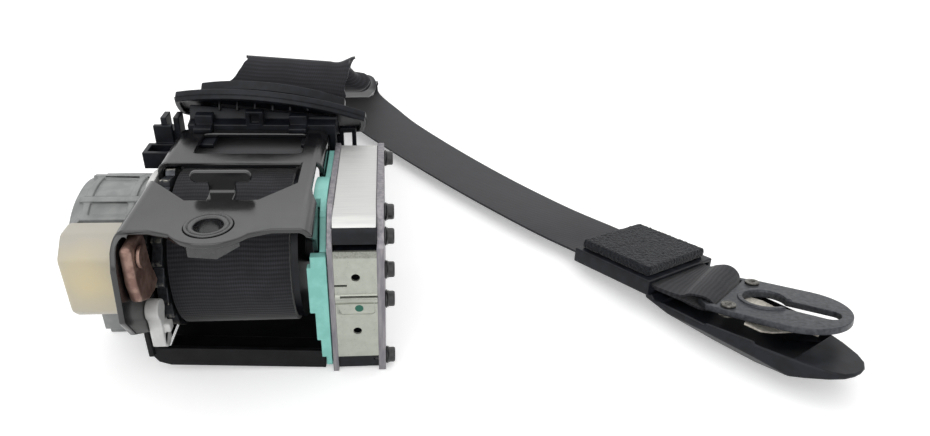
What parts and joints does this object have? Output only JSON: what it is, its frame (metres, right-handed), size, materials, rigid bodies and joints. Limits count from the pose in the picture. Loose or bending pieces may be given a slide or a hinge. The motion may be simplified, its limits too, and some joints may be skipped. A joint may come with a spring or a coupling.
{
  "type": "seat belt retractor",
  "caption": "Seat belt retractor with a tensioner: steel frame, wound webbing on a ratchet spool, locking pawl, crash sensor, spring drum, belt guide and keyhole end fitting.",
  "frame": {"origin": "centre of the anchor hole on the outer face of the frame plate", "axes": "+Z leaves the mounting face, +Y is the way the webbing leaves the frame, +X runs along the spool axis from the sensor side to the tensioner side"},
  "size_m": [0.3349, 0.3749, 0.101],
  "materials": {
    "frame_black": "satin black coating",
    "nut_black": "dark phosphate",
    "webbing_weave": "woven polyester",
    "teal_plastic": "moulded",
    "side_steel": "rolled",
    "bright_aluminium": "extruded",
    "zinc_sheet": "galvanised",
    "bolt_black": "black oxide",
    "grey_plastic": "moulded",
    "clear_ivory": "translucent",
    "copper_coat": "copper coloured",
    "white_plastic": "moulded",
    "black_plastic": "fine grain",
    "dark_steel": "worn dark",
    "felt_black": "felt",
    "spring_steel": "bright"
  },
  "bodies": {
    "retractor_body": {"frame": "frame_black", "anchor_nut": "nut_black", "lower_strap": "frame_black", "bearing_plate": "teal_plastic", "inner_plate": "side_steel", "tensioner_block": "bright_aluminium", "tensioner_core": "black_plastic", "cover_sheet": "zinc_sheet", "outer_plate": "side_steel", "tensioner_bolts": "bolt_black", "gas_generators": "side_steel", "mechanism_base": "white_plastic", "spring_housing": "grey_plastic", "spring_cover": "grey_plastic", "return_spring": "side_steel", "sensor_cover": "clear_ivory", "sensor_cage": "white_plastic", "pawl_carrier": "white_plastic", "pawl_pin": "side_steel", "belt_guide": "black_plastic", "bezel": "black_plastic", "side_clip": "black_plastic", "side_eyelet": "black_plastic", "webbing_lead": "webbing_weave", "webbing_free": "webbing_weave"},
    "spool_body": {"spool": "black_plastic", "torsion_bar": "side_steel", "ratchet_wheel": "dark_steel", "webbing_roll": "webbing_weave", "spring_arbor": "white_plastic"},
    "rotor_body": {"drive_rotor": "side_steel"},
    "pawl_body": {"locking_pawl": "copper_coat"},
    "ball_body": {"sensor_ball": "side_steel"},
    "lever_body": {"sensor_lever": "white_plastic"},
    "fitting_body": {"webbing_end": "webbing_weave", "end_sleeve": "black_plastic", "felt_pad": "felt_black", "keyhole_plate": "dark_steel", "plate_rivets": "spring_steel", "end_cover": "black_plastic"},
    "leaf_body": {"lock_spring": "spring_steel"}
  },
  "joints": [
    {"name": "spool_spin", "type": "hinge", "parent": "retractor_body", "child": "spool_body", "pos_m": [0, 0.051, -0.0395], "axis": [1, 0, 0], "continuous": true, "deforming": ["return_spring"]},
    {"name": "rotor_turn", "type": "hinge", "parent": "retractor_body", "child": "rotor_body", "pos_m": [0.05, 0.051, -0.0395], "axis": [1, 0, 0], "range_deg": [0, 330]},
    {"name": "pawl_swing", "type": "hinge", "parent": "retractor_body", "child": "pawl_body", "pos_m": [-0.0272, -0.001, -0.012], "axis": [1, 0, 0], "range_deg": [0, 9]},
    {"name": "ball_lift", "type": "slide", "parent": "retractor_body", "child": "ball_body", "axis": [0, 1, 0], "range_m": [0, 0.001]},
    {"name": "lever_swing", "type": "hinge", "parent": "retractor_body", "child": "lever_body", "pos_m": [-0.0449, 0.0138, -0.036], "axis": [-1, 0, 0], "range_deg": [0, 6]},
    {"name": "end_fitting_swing", "type": "hinge", "parent": "retractor_body", "child": "fitting_body", "pos_m": [0.18307, 0.09407, -0.07104], "axis": [-0.8405, -0.5281, 0.121], "range_deg": [0, 40], "deforming": ["webbing_free"]},
    {"name": "lock_spring_flex", "type": "hinge", "parent": "fitting_body", "child": "leaf_body", "pos_m": [0.23169, 0.03012, -0.06376], "axis": [0.7097, 0.6897, -0.1437], "range_deg": [0, 6], "stiffness_Nm_per_rad": 0.6, "deforming": ["lock_spring"]}
  ],
  "couplings": [
    {"joint": "lever_swing", "follows": "ball_lift", "rad_per_m": 100}
  ]
}
